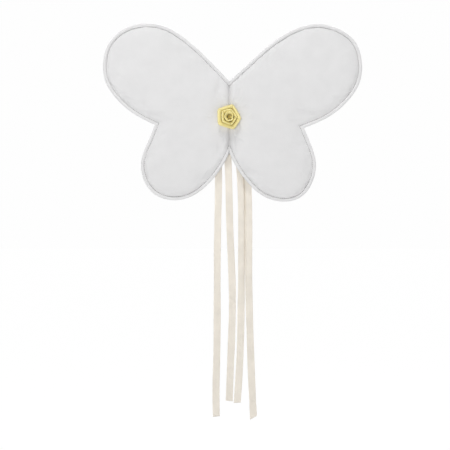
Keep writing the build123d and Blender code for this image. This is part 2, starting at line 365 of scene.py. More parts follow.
def cloth_material(name, base, roughness, sheen, weave, depth, mottle=0.02):
    """Plain-woven cloth.

    Two wave patterns at right angles, multiplied, stand for the yarns over and under each other.
    weave is the yarn pitch in metres, depth the height of the yarns. A slow noise varies the
    colour a little, as undyed cotton does, and a fine one roughens the yarns."""
    material, tree, shader = new_material(name, {
        "Roughness": roughness, "Specular IOR Level": 0.3, "Sheen Weight": sheen,
        "Sheen Roughness": 0.5})
    source = add_node(tree, "TexCoord", {}).outputs["Object"]
    yarns = [add_node(tree, "TexWave", {
        "Vector": source, "Scale": 2 * math.pi / (20 * weave), "Distortion": 0.6, "Detail": 1.0,
        "Detail Scale": 0.6}, wave_type="BANDS", bands_direction=direction).outputs["Fac"]
        for direction in ("X", "Z")]
    cross = add_node(tree, "Math", {0: yarns[0], 1: yarns[1]}, operation="MULTIPLY").outputs[0]
    slub = add_node(tree, "TexNoise", {"Vector": source, "Scale": 900.0, "Detail": 3.0})
    height = add_node(tree, "Math", {0: slub.outputs["Fac"], 1: 0.5, 2: cross},
                  operation="MULTIPLY_ADD")
    bumped(tree, shader, height.outputs[0], 0.5, depth)

    patches = add_node(tree, "TexNoise", {"Vector": source, "Scale": 45.0, "Detail": 4.0})
    base = np.asarray(base, float)
    tone = toned(tree, patches.outputs["Fac"], base * (1 - mottle), base * (1 + mottle), 0.3, 0.7)
    # Painted shade: the colour is a little darker in the gaps between the yarns, where the weave is low.
    shade = add_node(tree, "MapRange", {"Value": cross, "From Max": 0.4, "To Min": 0.5, "To Max": 0.0})
    yarn_gap_shade = add_node(tree, "MixRGB", {
        "Fac": shade.outputs["Result"], "Color1": tone, "Color2": (0.93, 0.93, 0.925, 1.0)},
        blend_type="MULTIPLY")
    feed(tree, shader, {"Base Color": yarn_gap_shade.outputs["Color"]})
    return material


def thread_material(name, base):
    """Spun sewing thread: fine twisted ridges along each stitch, from a distorted wave."""
    material, tree, shader = new_material(name, {"Roughness": 0.7, "Sheen Weight": 0.2})
    source = add_node(tree, "TexCoord", {}).outputs["Object"]
    twist = add_node(tree, "TexWave", {"Vector": source, "Scale": 900.0, "Distortion": 1.5},
                 bands_direction="DIAGONAL").outputs["Fac"]
    base = np.asarray(base, float)
    feed(tree, shader, {"Base Color": toned(tree, twist, base * 0.82, base * 1.08)})
    bumped(tree, shader, twist, 0.6, 0.00008)
    return material


def satin_material(name, light, deep):
    """Satin ribbon: long fine threads across the ribbon, and painted shade, a deeper gold low in the folds.

    The depth in the folds is the UV map's second number, 0 deep down and 1 at the lip."""
    material, tree, shader = new_material(name, {
        "Roughness": 0.29, "Specular IOR Level": 0.5, "Anisotropic": 0.5, "Sheen Weight": 0.12,
        "Sheen Roughness": 0.35, "Sheen Tint": (*light, 1.0)})
    source = add_node(tree, "TexCoord", {}).outputs["UV"]
    split = add_node(tree, "SeparateXYZ", {"Vector": source})
    # Painted shade: the colour runs from the shaded gold deep in the folds up to the lit satin at the lip.
    fold = toned(tree, split.outputs["Y"], deep, light, 0.15, 0.8)
    stretch = add_node(tree, "Mapping", {"Vector": source, "Scale": (260.0, 3.0, 1.0)})
    threads = add_node(tree, "TexNoise", {
        "Vector": stretch.outputs["Vector"], "Scale": 1.0, "Detail": 2.0}).outputs["Fac"]
    lustre = add_node(tree, "MixRGB", {"Fac": 0.3, "Color1": fold, "Color2": threads},
                  blend_type="SOFT_LIGHT")
    feed(tree, shader, {"Base Color": lustre.outputs["Color"]})
    bumped(tree, shader, threads, 0.25, 0.00006)
    return material


def fibre_material(name, base, scale):
    """Matted fibres, as in felt and wadding: two sizes of noise in height and colour."""
    material, tree, shader = new_material(name, {"Roughness": 0.95, "Sheen Weight": 0.4})
    source = add_node(tree, "TexCoord", {}).outputs["Object"]
    fibres = add_node(tree, "TexNoise", {
        "Vector": source, "Scale": scale, "Detail": 6.0, "Distortion": 1.2}).outputs["Fac"]
    base = np.asarray(base, float)
    feed(tree, shader, {"Base Color": toned(tree, fibres, base * 0.85, base * 1.08)})
    bumped(tree, shader, fibres, 1.0, 0.0004)
    return material


def cotton():
    """The white cotton of the covers and the patch, made once."""
    found = bpy.data.materials.get("white_cotton")
    wing = settings("wing")
    return found or cloth_material("white_cotton", wing.cotton, 0.88, 0.15, 0.0007, 0.00012)


def thread(seam=False):
    """The sewing thread, or that of the gathered middle, made once."""
    wing = settings("wing")
    name = "seam_thread" if seam else "sewing_thread"
    found = bpy.data.materials.get(name)
    return found or thread_material(name, wing.seam_thread if seam else wing.thread)


# ---- the padded wings -----------------------------------------------------------------------

# Distances from the edge of the rows in and beside the edge band, in millimetres.
BAND_ROWS = [0.0, 0.25, 0.9, 2.2, 3.6, 4.4, 5.3, 6.0, 6.7, 7.9, 9.6, 12.4]
FIELD_ROWS = 22
EDGE_SPACING = 6.6  # millimetres between the coarse grid's rays at the edge

# The cloth simulation: its air pressure, its frames, and how far it may move a point (mm).
AIR_PRESSURE = 4.0
LAST_FRAME = 20
SHIFT_CAP = 1.3

# Distances from the centre line, in millimetres, over which the wadding thins to leave room for
# the bend, and over which it fills out again.
THINNING = (18, 26)
FILLING = (50, 60)

# Pitch, length and radius of the stitches, in metres, and how far they stand off the cloth.
TOPSTITCH = (0.0033, 0.0027, 0.00032)
SEAM_STITCH = (0.0042, 0.0030, 0.00032)
PATCH_STITCH = (0.0030, 0.0024, 0.00030)
STITCH_LIFT = 0.00005


def outline_rays(side):
    """Points along one half's edge and the direction inward from each, in millimetres.

    The direction is the edge's normal, except at the notches: there it is the mitre of the two
    edges, longer than 1, so that a line at any distance inside the edge keeps its sharp corner.
    At the top and bottom notches the mitre lies on the centre line."""
    upper, lower = [spline_through(edge, EDGE_SPACING / 2) for edge in HALF_OUTLINES[side]]
    if len(upper) % 2 == 0:
        upper = resampled(upper, len(upper) + 1)
    if len(lower) % 2 == 0:
        lower = resampled(lower, len(lower) + 1)
    sign = SIDES[side]
    normals = []
    for edge in (upper, lower):
        tangent = np.gradient(edge, axis=0)
        tangent /= np.linalg.norm(tangent, axis=1)[:, None]
        normals.append(sign * np.stack([tangent[:, 1], -tangent[:, 0]], axis=1))
    middle = normals[0][-1] + normals[1][0]
    middle /= np.linalg.norm(middle)
    middle /= middle @ normals[1][0]
    rays = np.concatenate([normals[0][:-1], [middle], normals[1][1:]])
    rays[0] = (0.0, 1.0 / rays[0, 1])
    rays[-1] = (0.0, 1.0 / rays[-1, 1])
    return np.concatenate([upper[:-1], lower]), rays


def flat_grid(side, fine):
    """Flat positions (ray, row, xz) of one half in millimetres, and the distance from the edge.

    Rows near the edge are the edge moved inward. From the last of those the rows shrink towards
    the middle of the object, so that the rays meet under the rose."""
    edge, rays = outline_rays(side)
    band = np.array(BAND_ROWS)
    shrink = (np.arange(1, FIELD_ROWS + 1) / FIELD_ROWS) ** 0.92
    if fine:
        band = np.interp(np.arange(2 * len(band) - 1) / 2, np.arange(len(band)), band)
        both = np.concatenate([[0.0], shrink])
        shrink = np.interp(np.arange(1, 2 * FIELD_ROWS + 1) / 2, np.arange(FIELD_ROWS + 1), both)
    else:
        edge, rays = edge[::2], rays[::2]
    outer = edge[:, None, :] + band[None, :, None] * rays[:, None, :]
    field = outer[:, -1:, :] * (1 - shrink)[None, :, None]
    grid = np.concatenate([outer, field], axis=1)
    everything = outline_rays(side)[0]
    flat = grid.reshape(-1, 2)
    far = np.full(len(flat), 1e9)
    for start in range(0, len(flat), 4000):
        part = flat[start:start + 4000]
        gap = np.linalg.norm(part[:, None, :] - everything[None, :, :], axis=2)
        far[start:start + 4000] = gap.min(axis=1)
    distance = far.reshape(grid.shape[:2])
    distance[:, :len(band)] = band[None, :]
    return grid, distance


def ripple(phase, position, pitch):
    """A smooth uneven wave: three sines whose pitches share no common measure."""
    turn = 2 * math.pi * position / pitch
    return (np.sin(turn + phase) + 0.6 * np.sin(turn * 0.618 + 2.1 * phase)
            + 0.4 * np.sin(turn * 1.73 + 0.7 * phase)) / 2.0


def puff(grid, distance, phase):
    """Half thickness of the padded wing, in millimetres, at each grid point.

    The edge is a quarter round, the band inside it swells and dips to the stitching. Beyond the
    stitching the padding rises as one minus an exponential of the distance. Uneven puckers run
    inward from the stitching and fade; the centre seam pulls the cloth in above and below the
    rose, and short gathers fan out from it."""
    wing = settings("wing")
    band_width = wing.band_width / MM
    stitch = wing.stitch_depth / MM
    x, z = grid[..., 0], grid[..., 1]
    along = np.cumsum(np.concatenate(
        [np.zeros((1, grid.shape[1])), np.linalg.norm(np.diff(grid, axis=0), axis=2)]), axis=0)
    edge_along = along[:, :1]

    share = np.clip(distance / band_width, 0, 1)
    aside = 1 - np.exp(-np.abs(x) / 3.0)
    edge_round = np.sqrt(np.clip(1 - (1 - np.clip(distance / 2.4, 0, 1)) ** 2, 0, 1))
    band_top = wing.band_puff / MM * (1 + 0.10 * aside * ripple(phase + 1.3, edge_along, 7.3))
    dip = stitch + (band_top - stitch) * (1 - smoothstep(0.60, 0.94, share))
    band = edge_round * np.where(share < 0.5, band_top, dip)

    beyond = np.clip(distance - band_width, 0, None)
    wide = smoothstep(24, 60, np.abs(x))
    top = wing.centre_crown / MM * (1 - wide) + wing.crown / MM * wide
    rise = 1 - np.exp(-((np.clip(beyond - 0.35, 0, None) / (wing.shoulder / MM)) ** 1.3))
    field = stitch + (top - stitch) * (0.72 * rise + 0.28 * (1 - np.exp(-beyond / 14.0)))
    fade = np.exp(-beyond / 7.0) * (1 - np.exp(-beyond / 1.4))
    field += 0.42 * aside * fade * ripple(phase, edge_along, 8.7)

    reach = np.hypot(x, z)
    seam = smoothstep(19, 26, np.abs(z)) * (1 - smoothstep(52, 58, np.abs(z)))
    bottom = z < 0
    sway = np.where(bottom, 0.4 * np.sin(z * 0.16), -1.9 * np.exp(-(((z - 38) / 8.0) ** 2)))
    sink = np.where(bottom, 0.20, 0.08 + 0.16 * smoothstep(36, 52, z))
    field *= 1 - sink * seam * np.exp(-((np.abs(x - sway) / 1.8) ** 1.5))
    beside = seam * np.exp(-((x / 15.0) ** 2)) * (1 - np.exp(-np.abs(x) / 2.0))
    field += 0.38 * beside * ripple(phase + 0.5, z + 0.35 * np.abs(x), 8.0)
    angle = np.arctan2(z, x)
    gather = np.exp(-(((reach - 27) / 12.0) ** 2))
    field += 0.30 * aside * gather * np.sin(17 * angle + phase) * np.exp(-((x / 22.0) ** 2))
    return np.where(distance <= band_width, band, field)


def simulated_shift(halves):
    """How a pressure cloth simulation moves the coarse grids, in millimetres.

    Both halves, front and back, are one closed bag. The edge band, the centre seam and the middle
    are pinned, the cloth is a little larger than its outline, and air pressure swells it: slack
    cloth buckles beside the stitching. The movement is capped."""
    points, faces, pins, spans = [], [], [], {}
    mid = settings("wing").mid_y / MM
    start = 0
    for side, sign in SIDES.items():
        grid, distance = halves[side]["coarse"]
        for face, facing in FACES.items():
            half = puff(grid, distance, halves[side]["phase"][face])
            rows, columns = half.shape
            place = np.stack([grid[..., 0], mid + facing * half, grid[..., 1]], axis=-1)
            points.append(place.reshape(-1, 3))
            faces.append(grid_faces(rows, columns, flip=(sign * facing < 0), start=start))
            held = (distance <= settings("wing").band_width / MM + 0.01)
            held |= (np.abs(grid[..., 0]) < 2.5) | (np.hypot(grid[..., 0], grid[..., 1]) < 30)
            pins.append(held.ravel())
            spans[side, face] = (start, rows, columns)
            start += rows * columns
    points = np.concatenate(points) * MM
    pins = np.concatenate(pins)
    faces = np.concatenate(faces)
    _, first, same = np.unique(np.round(points / 1e-6).astype(np.int64), axis=0,
                               return_index=True, return_inverse=True)
    same = same.ravel()
    joined = same[faces]
    area = np.ones(len(joined), bool)
    corner_sets = np.sort(joined, axis=1)
    area &= (np.diff(corner_sets, axis=1) > 0).all(axis=1)
    triangles = joined[~area]
    polygons = joined[area].tolist()
    for corners in triangles.tolist():
        short = list(dict.fromkeys(corners))
        if len(short) == 3:
            polygons.append(short)
    mesh = bpy.data.meshes.new("bag")
    mesh.from_pydata(points[first].tolist(), [], polygons)
    mesh.update()
    bag = bpy.data.objects.new("bag", mesh)
    bpy.context.scene.collection.objects.link(bag)
    group = bag.vertex_groups.new(name="sewn")
    sewn = np.zeros(len(first), bool)
    np.logical_or.at(sewn, same, pins)
    group.add(np.nonzero(sewn)[0].tolist(), 1.0, "REPLACE")
    cloth = bag.modifiers.new("air", "CLOTH")
    cloth.settings.vertex_group_mass = "sewn"
    cloth.settings.use_pressure = True
    cloth.settings.uniform_pressure_force = AIR_PRESSURE
    cloth.settings.mass = 0.25
    cloth.settings.tension_stiffness = 20.0
    cloth.settings.compression_stiffness = 20.0
    cloth.settings.shear_stiffness = 8.0
    cloth.settings.bending_stiffness = 0.6
    cloth.settings.shrink_min = -0.012
    cloth.settings.effector_weights.gravity = 0.0
    cloth.settings.quality = 6
    cloth.collision_settings.use_collision = False
    scene = bpy.context.scene
    for number in range(1, LAST_FRAME + 1):
        scene.frame_set(number)
    result = bag.evaluated_get(bpy.context.evaluated_depsgraph_get()).data
    moved = np.zeros(len(result.vertices) * 3)
    result.vertices.foreach_get("co", moved)
    shift = (moved.reshape(-1, 3) - points[first]) / MM
    size = np.linalg.norm(shift, axis=1)
    shift *= (SHIFT_CAP * np.tanh(size / SHIFT_CAP) / np.maximum(size, 1e-9))[:, None]
    scene.frame_set(1)
    bpy.data.objects.remove(bag)
    bpy.data.meshes.remove(mesh)
    shift = shift[same]
    return {key: shift[start:start + rows * columns].reshape(rows, columns, 3)
            for key, (start, rows, columns) in spans.items()}


def doubled(field):
    """A grid of numbers with a new row and column halfway between each pair."""
    for axis in (0, 1):
        field = np.moveaxis(field, axis, 0)
        wide = np.zeros((2 * len(field) - 1, *field.shape[1:]))
        wide[::2] = field
        wide[1::2] = (field[1:] + field[:-1]) / 2
        field = np.moveaxis(wide, 0, axis)
    return field


WING_SHAPES = {}


def wing_shapes():
    """Grids of both halves and the final points of their covers, in metres, worked out once."""
    if WING_SHAPES:
        return WING_SHAPES
    halves = {}
    for number, side in enumerate(SIDES):
        halves[side] = {"coarse": flat_grid(side, False), "fine": flat_grid(side, True),
                        "phase": {"front": 0.4 + 1.9 * number, "back": 2.7 + 1.3 * number}}
    shift = simulated_shift(halves)
    mid = settings("wing").mid_y / MM
    for side in SIDES:
        grid, distance = halves[side]["fine"]
        WING_SHAPES[side] = {"grid": grid, "distance": distance}
        for face, facing in FACES.items():
            half = puff(grid, distance, halves[side]["phase"][face])
            place = np.stack([grid[..., 0], mid + facing * half, grid[..., 1]], axis=-1)
            if shift:
                place += doubled(shift[side, face])
            WING_SHAPES[side][face] = place * MM
    return WING_SHAPES


def bend_at_fold(piece):
    """Bakes the piece's placement into its mesh; the piece is not bent."""
    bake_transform(piece)


class FAIRY_OT_covers(bpy.types.Operator):
    """Front and back covers of both halves, sewn along the edge and puffed by the wadding"""

    bl_idname = "fairy_wings.covers"
    bl_label = "Cotton covers"

    def execute(self, context):
        wing = settings("wing")
        for side, sign in SIDES.items():
            shape = wing_shapes()[side]
            for face, facing in FACES.items():
                points = shape[face]
                rows, columns = points.shape[:2]
                faces = grid_faces(rows, columns, flip=(sign * facing < 0))
                piece = new_object(f"{side}_{face}_cotton",
                                   mesh_from(f"{side}_{face}_cotton", points, faces))
                thin = piece.vertex_groups.new(name="full_thickness")
                numbers = np.arange(rows * columns).reshape(rows, columns)
                for column, share in enumerate(smoothstep(0.0, 2.0, shape["distance"][0])):
                    thin.add(numbers[:, column].tolist(), float(share), "REPLACE")
                close_mesh(piece.data, outward=False)
                thicken(piece, wing.cloth).vertex_group = thin.name
                piece.data.materials.append(cotton())
                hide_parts(f"{side}_{face}_cover", f"centre_{face}_cover")
                bend_at_fold(piece)
        return {"FINISHED"}


class FAIRY_OT_wadding(bpy.types.Operator):
    """Wadding and turned-in seam allowance inside both halves"""

    bl_idname = "fairy_wings.wadding"
    bl_label = "Wadding and turned edges"

    def execute(self, context):
        wing = settings("wing")
        fibres = fibre_material("fibre_wadding", wing.wadding, 260.0)
        mid = wing.mid_y
        for side, sign in SIDES.items():
            shape = wing_shapes()[side]
            inside = shape["distance"][0] > wing.band_width / MM + 0.6
            layers, turned = [], []
            for face, facing in FACES.items():
                place = shape[face][::2, inside][:, ::2].copy()
                depth = (place[..., 1] - mid) * facing
                away = np.abs(place[..., 0]) / MM
                at_fold = smoothstep(*THINNING, away) * (1 - smoothstep(*FILLING, away))
                slack = 1.6 * wing.cloth + wing.fold_room * at_fold
                share = smoothstep(0.0, 3.0, np.arange(place.shape[1], dtype=float))[None, :]
                place[..., 1] = mid + facing * np.clip(depth - slack, 0.0, None) * share
                inward = sign * facing < 0
                layers.append((place.reshape(-1, 3), grid_faces(*place.shape[:2], flip=inward)))
                band = (shape["distance"][0] >= 0.9) & (shape["distance"][0] < 5.4)
                strip = shape[face][:, band].copy()
                height = np.clip((strip[..., 1] - mid) * facing - 1.8 * wing.cloth, 0.0, None)
                height[:, 0] = 0.0
                height[:, -1] = 0.0
                strip[..., 1] = mid + facing * height
                turned.append((strip.reshape(-1, 3), grid_faces(*strip.shape[:2], flip=inward)))
            mesh = mesh_from(side + "_fibre_wadding", *joined(layers))
            close_mesh(mesh, outward=False)
            piece = new_object(side + "_fibre_wadding", mesh)
            piece.data.materials.append(fibres)
            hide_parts(side + "_wadding", "centre_wadding")
            bend_at_fold(piece)
            mesh = mesh_from(side + "_seam_allowance", *joined(turned))
            close_mesh(mesh, outward=False)
            piece = new_object(side + "_seam_allowance", mesh)
            piece.data.materials.append(cotton())
            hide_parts(side + "_turned_edge", "centre_turned_edge")
            bend_at_fold(piece)
        return {"FINISHED"}


def stitched(line, normals, pitch, size, radius):
    """Points and faces of evenly spaced stitches along a line, each lying on its surface."""
    along = run_length(line)
    wanted = np.arange(pitch / 2, along[-1], pitch)
    centres = read_at(wanted, along, line)
    directions = read_at(wanted + pitch / 4, along, line) - read_at(wanted - pitch / 4, along, line)
    directions /= np.linalg.norm(directions, axis=1)[:, None]
    return capsules(centres, directions, read_at(wanted, along, normals), size, radius)


def thread_piece(name, parts, material):
    """All the stitches of a seam as one piece."""
    piece = new_object(name, mesh_from(name, *joined(parts)))
    close_mesh(piece.data)
    piece.data.materials.append(material)
    return piece


class FAIRY_OT_stitching(bpy.types.Operator):
    """Topstitching round the edge and gathering stitches on the centre line"""

    bl_idname = "fairy_wings.stitching"
    bl_label = "Stitching"

    def execute(self, context):
        wing = settings("wing")
        for side in SIDES:
            shape = wing_shapes()[side]
            row = int(np.argmin(np.abs(shape["distance"][0] - wing.band_width / MM)))
            parts = []
            for face, facing in FACES.items():
                line = shape[face][:, row].copy()
                line[:, 1] += facing * STITCH_LIFT
                up = np.tile([0.0, facing, 0.0], (len(line), 1))
                parts.append(stitched(line, up, *TOPSTITCH))
            piece = thread_piece(side + "_topstitch_thread", parts, thread())
            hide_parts(side + "_topstitching", "centre_topstitching")
            bend_at_fold(piece)

        front = wing_shapes()["right"]["front"]
        runs = []
        for edge in (front[0], front[-1]):
            height = np.abs(edge[:, 2])
            seam = edge[(height > 0.0235) & (height < 0.052)].copy()
            seam[:, 1] -= STITCH_LIFT
            up = np.tile([0.0, -1.0, 0.0], (len(seam), 1))
            runs.append(stitched(seam, up, *SEAM_STITCH))
        piece = thread_piece("centre_gathering_thread", runs, thread(seam=True))
        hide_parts("centre_seam_stitches")
        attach(piece, "root")
        return {"FINISHED"}


# ---- the rose -------------------------------------------------------------------------------


# Corners of the rose's turns, in millimetres (x, z) from its middle, anticlockwise from the front.
ROSE_CORNERS = {
    "rose_outer_turn": [(6.2, 21.8), (-20.2, 13.4), (-19.7, -13.4), (7.6, -22.0), (20.6, -2.8)],
    "rose_middle_turn": [(3.4, 13.6), (-13.2, 9.4), (-12.6, -9.2), (4.6, -14.6), (13.8, -0.4)],
    "rose_inner_turn": [(5.8, 7.2), (-4.6, 8.6), (-9.0, -0.6), (-3.4, -8.0), (6.4, -5.6)],
}
# How each turn's ribbon folds over: share of the way out from the middle, and share of the way
# from its base to its lip; up the outside, over the lip and down the inside.
PETAL_FOLD = {
    "rose_outer_turn": [(0.94, 0.0), (0.98, 0.45), (1.0, 0.78), (0.985, 0.96), (0.93, 1.0),
                        (0.84, 0.97), (0.76, 0.90), (0.715, 0.76), (0.70, 0.5)],
    "rose_middle_turn": [(0.93, 0.2), (0.975, 0.5), (1.0, 0.80), (0.985, 0.96), (0.92, 1.0),
                         (0.82, 0.96), (0.73, 0.88), (0.68, 0.74), (0.66, 0.55)],
    "rose_inner_turn": [(0.92, 0.3), (0.97, 0.6), (1.0, 0.85), (0.97, 0.98), (0.86, 1.0),
                        (0.74, 0.95), (0.60, 0.86), (0.50, 0.74), (0.44, 0.62)],
}


def petal(start, end, fold, base_y, lip_y, bow, tilt):
    """One folded petal of the rose, between two corners (x, z) of its turn.

    The first parameter runs along the side and a little past both corners; the side bows
    outward. The second follows the fold, which scales the side towards the middle and sets its
    height. Tilt lifts one end over the next petal and tucks the other under the last."""
    side = np.linspace(-0.05, 1.05, 23)[:, None]
    path = evenly(spline_through(fold, 0.03), 0.06)
    scale, rise = path[None, :, 0], path[None, :, 1]
    start, end = np.array(start), np.array(end)
    centred = 2 * side - 1
    outward = 1 + bow * (1 - centred**2) - 0.05 * centred**10
    crumple = 1 + 0.010 * np.sin(11 * centred + 3 * start[0]) * rise
    reach = scale * outward * crumple
    place = start + (end - start) * side
    height = lip_y + (base_y - lip_y) * (1 - rise) + tilt * centred * rise
    points = np.stack([place[:, :1] * reach * MM, height, place[:, 1:] * reach * MM], axis=-1)
    # The UV map's second number is the height up the fold; the satin paints its fold shade from it.
    uv = np.stack([np.broadcast_to(side, height.shape), np.broadcast_to(rise, height.shape)], axis=-1)
    return points, uv


class FAIRY_OT_rose(bpy.types.Operator):
    """Felt base, three turns of folded satin ribbon and the rolled bud"""

    bl_idname = "fairy_wings.rose"
    bl_label = "Ribbon rose"

    def execute(self, context):
        rose = settings("rose")
        satin = satin_material("gold_satin_ribbon", rose.satin, rose.satin_fold_shade)
        turns = (
            ("rose_outer_turn", "outer_petals", 0.02, 0.0005),
            ("rose_middle_turn", "middle_petals", 0.05, 0.0006),
            ("rose_inner_turn", "inner_petals", 0.12, 0.0006),
        )
        base_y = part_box("rose_felt_base")[0].y
        for node, name, bow, tilt in turns:
            lip_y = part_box(node)[0].y + 0.0008
            corners = ROSE_CORNERS[node]
            points, uv, faces = [], [], []
            for start, end in zip(corners, corners[1:] + corners[:1]):
                part, part_uv = petal(start, end, PETAL_FOLD[node], base_y, lip_y, bow, tilt)
                faces.append(grid_faces(*part.shape[:2], start=sum(len(p) for p in points)))
                points.append(part.reshape(-1, 3))
                uv.append(part_uv.reshape(-1, 2))
            mesh = mesh_from(name, np.concatenate(points), np.concatenate(faces), np.concatenate(uv))
            piece = new_object(name, mesh)
            thicken(piece, rose.ribbon, offset=0.0)
            piece.data.materials.append(satin)
            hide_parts(node)
            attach(piece, "root")

        low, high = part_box("rose_bud")
        outer = (high.x - low.x) / 2
        turn = np.linspace(0.0, 1.9 * 2 * math.pi, 120)[:, None]
        fold = np.linspace(0.0, 1.0, 14)[None, :]
        share = turn / turn[-1]
        radius = (0.0003 + (outer - 0.0003) * share) * (1 + 0.06 * np.cos(2 * turn + 0.6))
        spread = 0.25 + 0.75 * smoothstep(0.0, 0.4, fold) + 0.06 * smoothstep(0.8, 1.0, fold)
        x = radius * spread * np.cos(turn + 1.0)
        z = radius * spread * np.sin(turn + 1.0)
        lip = (low.y + 0.0008 + 0.0010 * share + 0.0003 * np.sin(3 * turn)
               + 0.0022 * smoothstep(0.9, 1.0, share))
        y = low.y + 0.0040 + (lip - low.y - 0.0040) * fold
        points = np.stack([x, y + 0 * x, z], axis=-1)
        # The UV map's second number rises across the rolled ribbon; the satin paints its fold shade from
        # it.
        uv = np.stack([np.broadcast_to(share, y.shape), np.broadcast_to(fold**1.5, y.shape)], axis=-1)
        mesh = mesh_from("rolled_bud", points, grid_faces(*points.shape[:2]), uv)
        piece = new_object("rolled_bud", mesh)
        thicken(piece, rose.ribbon, offset=0.0)
        piece.data.materials.append(satin)
        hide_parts("rose_bud")
        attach(piece, "root")

        low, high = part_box("rose_felt_base")
        radius = (high.x - low.x) / 2
        turn = np.linspace(0.0, 2 * math.pi, 97)[:-1, None]
        profile_r = np.array([0.0, 0.5, 0.9, 0.985, 1.0, 0.985, 0.9, 0.5, 0.0])[None, :] * radius
        profile_y = np.array([0.0, 0.0, 0.0, 0.12, 0.5, 0.88, 1.0, 1.0, 1.0])[None, :]
        wobble = 1 + 0.012 * np.sin(5 * turn) + 0.006 * np.sin(13 * turn + 1.0)
        points = np.stack([profile_r * wobble * np.cos(turn),
                           low.y + (high.y - low.y) * profile_y + 0 * turn,
                           profile_r * wobble * np.sin(turn)], axis=-1)
        mesh = mesh_from("felt_disc", points, grid_faces(*points.shape[:2], closed_rows=True))
        close_mesh(mesh)
        piece = new_object("felt_disc", mesh)
        piece.data.materials.append(fibre_material("gold_felt", rose.felt, 1500.0))
        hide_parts("rose_felt_base")
        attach(piece, "root")
        return {"FINISHED"}


# ---- the back patch and the ties ------------------------------------------------------------


def sewn_panel(low, high, dent_inset, dent, corner, cells):
    """A flat sewn panel between two corners, its outer face towards +Y.

    The outer face is a grid whose height falls off in a quarter round at the rim and dips along
    a line dent_inset inside it. The corner's rounding draws the grid in at the corners. The
    inner face is flat, and the two share their rim."""
    u = np.linspace(-1.0, 1.0, cells[0])[:, None]
    v = np.linspace(-1.0, 1.0, cells[1])[None, :]
    half_x, half_z = (high.x - low.x) / 2, (high.z - low.z) / 2
    thick = high.y - low.y
    x = u * half_x + 0 * v
    z = v * half_z + 0 * u
    over_x = np.clip(np.abs(x) - (half_x - corner), 0, None)
    over_z = np.clip(np.abs(z) - (half_z - corner), 0, None)
    over = np.hypot(over_x, over_z)
    square = np.maximum(over_x, over_z)
    draw = np.where(over > 1e-12, square / np.maximum(over, 1e-12), 1.0)
    x = np.sign(x) * (np.abs(x) - over_x + over_x * draw)
    z = np.sign(z) * (np.abs(z) - over_z + over_z * draw)
    rim = np.minimum(half_x - np.abs(u * half_x), half_z - np.abs(v * half_z))
    soft = np.sqrt(np.clip(1 - (1 - np.clip(rim / (0.6 * thick), 0, 1)) ** 2, 0, 1))
    groove = dent * np.exp(-(((rim - dent_inset) / 0.0006) ** 2))
    y_outer = low.y + np.clip(thick * soft - groove, 0.0, None)
    centre_x, centre_z = (high.x + low.x) / 2, (high.z + low.z) / 2
    outer = np.stack([centre_x + x, y_outer, centre_z + z], axis=-1)
    inner = np.stack([centre_x + x, low.y + 0 * y_outer, centre_z + z], axis=-1)
    faces = np.concatenate([
        grid_faces(*outer.shape[:2]),
        grid_faces(*inner.shape[:2], flip=True, start=outer.shape[0] * outer.shape[1])])
    return np.concatenate([outer.reshape(-1, 3), inner.reshape(-1, 3)]), faces


class FAIRY_OT_patch(bpy.types.Operator):
    """Back patch, its border stitches, the sewn ends of the ties and their box stitches"""

    bl_idname = "fairy_wings.patch"
    bl_label = "Patch and sewn ends"

    def execute(self, context):
        low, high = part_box("back_patch")
        points, faces = sewn_panel(low, high, 0.0012, 0.0003, 0.002, (93, 71))
        mesh = mesh_from("sewn_back_patch", points, faces)
        close_mesh(mesh)
        piece = new_object("sewn_back_patch", mesh)
        piece.data.materials.append(cotton())
        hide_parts("back_patch")
        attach(piece, "root")

        inset = 0.0012
        corners = np.array([(low.x + inset, low.z + inset), (high.x - inset, low.z + inset),
                            (high.x - inset, high.z - inset), (low.x + inset, high.z - inset),
                            (low.x + inset, low.z + inset)])
        self.stitch("patch_border_thread", [corners], high.y - 0.0001, "back_patch_stitches")

        tape = tape_material()
        boxes = []
        for name in TIE_NAMES:
            node = name + "_tie_sewn_end"
            low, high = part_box(node)
            tongue = low.copy()
            tongue.z = TIE_ROUTES[name][0][2] - 0.0004
            points, faces = sewn_panel(tongue, high, 0.002, 0.00012, 0.0008, (45, 57))
            mesh = mesh_from(name + "_doubled_end", points, faces)
            close_mesh(mesh)
            piece = new_object(name + "_doubled_end", mesh)
            piece.data.materials.append(tape)
            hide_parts(node)
            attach(piece, "root")
            inset = 0.002
            left, right, bottom, top = low.x + inset, high.x - inset, low.z + inset, high.z - inset
            boxes.append(np.array([(left, bottom), (right, bottom), (right, top), (left, top),
                                   (left, bottom)]))
            boxes.append(np.array([(left, bottom), (right, top)]))
            boxes.append(np.array([(left, top), (right, bottom)]))
        self.stitch("tie_box_thread", boxes, high.y, "tie_box_stitches")
        return {"FINISHED"}

    def stitch(self, name, routes, y, node):
        """Stitches along straight routes (x, z) on a face towards +Y."""
        parts = []
        for route in routes:
            for start, end in zip(route, route[1:]):
                line = np.linspace(start, end, 12)
                line = np.stack([line[:, 0], np.full(12, y), line[:, 1]], axis=1)
                up = np.tile([0.0, 1.0, 0.0], (12, 1))
                parts.append(stitched(line, up, *PATCH_STITCH))
        piece = thread_piece(name, parts, thread())
        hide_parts(node)
        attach(piece, "root")


def tape_material():
    """Unbleached cotton tape, made once."""
    name = "natural_cotton_tape"
    found = bpy.data.materials.get(name)
    return found or cloth_material(
        name, settings("tie").natural, 0.85, 0.2, 0.00085, 0.0002, mottle=0.045)


